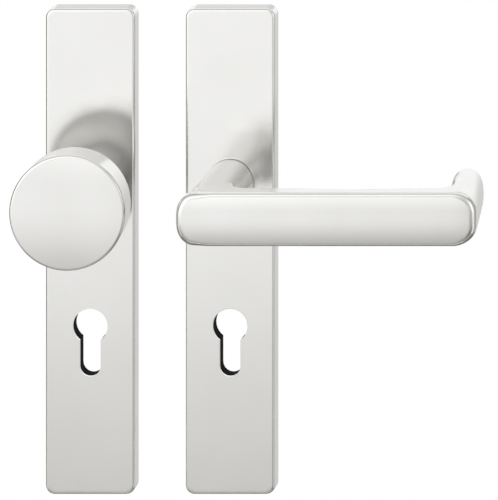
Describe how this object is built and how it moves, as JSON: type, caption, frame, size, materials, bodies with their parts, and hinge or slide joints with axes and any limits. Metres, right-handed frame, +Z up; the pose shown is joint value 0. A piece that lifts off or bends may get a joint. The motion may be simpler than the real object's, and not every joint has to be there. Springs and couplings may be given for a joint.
{
  "type": "door furniture set",
  "caption": "Long door backplates with a fixed round knob and a sprung U-shaped lever, each with a euro profile cylinder cut-out.",
  "frame": {"origin": "the lever's turning axis at the face of the door, which is the plane of both plates' backs", "axes": "+X to the right seen from the front, +Y into the door, +Z up the plates"},
  "size_m": [0.2353, 0.124, 0.244],
  "materials": {
    "cover": "satin silver anodised",
    "grip": "satin silver anodised",
    "base": "moulded black nylon",
    "fastener": "zinc plated steel",
    "sheet": "zinc plated steel sheet",
    "spindle": "drawn steel",
    "grub": "blackened steel",
    "driver": "bare die-cast zinc",
    "bearing": "natural acetal",
    "spring": "spring steel"
  },
  "bodies": {
    "plates": {"knob_cover_plate": "cover", "knob_base_plate": "base", "knob_head": "grip", "knob_back_disc": "grip", "knob_neck": "grip", "knob_nut": "fastener", "knob_bolt": "fastener", "knob_bolt_washer": "fastener", "knob_lock_pin": "fastener", "sleeve_nut_upper": "fastener", "sleeve_nut_lower": "fastener", "knob_cover_clip_1": "spring", "knob_cover_clip_2": "spring", "knob_cover_clip_3": "spring", "knob_cover_clip_4": "spring", "lever_cover_plate": "cover", "lever_base_plate": "base", "lever_guide_bush": "bearing", "mechanism_cover": "sheet", "mechanism_screw_1": "fastener", "mechanism_screw_2": "fastener", "mechanism_screw_3": "fastener", "mechanism_screw_4": "fastener", "through_bolt_upper": "fastener", "through_bolt_lower": "fastener", "return_spring_lower": "spring", "return_spring_upper": "spring", "lever_cover_clip_1": "spring", "lever_cover_clip_2": "spring", "lever_cover_clip_3": "spring", "lever_cover_clip_4": "spring"},
    "lever": {"lever_handle": "grip", "spindle": "spindle", "grub_screw": "grub", "spring_driver": "driver", "thrust_washer": "bearing"},
    "plunger_lower": {"spring_plunger_lower": "bearing"},
    "plunger_upper": {"spring_plunger_upper": "bearing"}
  },
  "joints": [
    {"name": "lever_turn", "type": "hinge", "parent": "plates", "child": "lever", "pos_m": [0, 0, 0], "axis": [0, 1, 0], "range_deg": [0, 40], "stiffness_Nm_per_rad": 0.9, "springref_deg": -28.65},
    {"name": "plunger_lower_slide", "type": "slide", "parent": "plates", "child": "plunger_lower", "axis": [0, 0, -1], "range_m": [0, 0.0087], "deforming": ["return_spring_lower"]},
    {"name": "plunger_upper_slide", "type": "slide", "parent": "plates", "child": "plunger_upper", "axis": [0, 0, 1], "range_m": [0, 0.0087], "deforming": ["return_spring_upper"]}
  ],
  "couplings": [
    {"joint": "plunger_lower_slide", "follows": "lever_turn", "m_per_rad": 0.0123},
    {"joint": "plunger_upper_slide", "follows": "lever_turn", "m_per_rad": 0.0123}
  ]
}
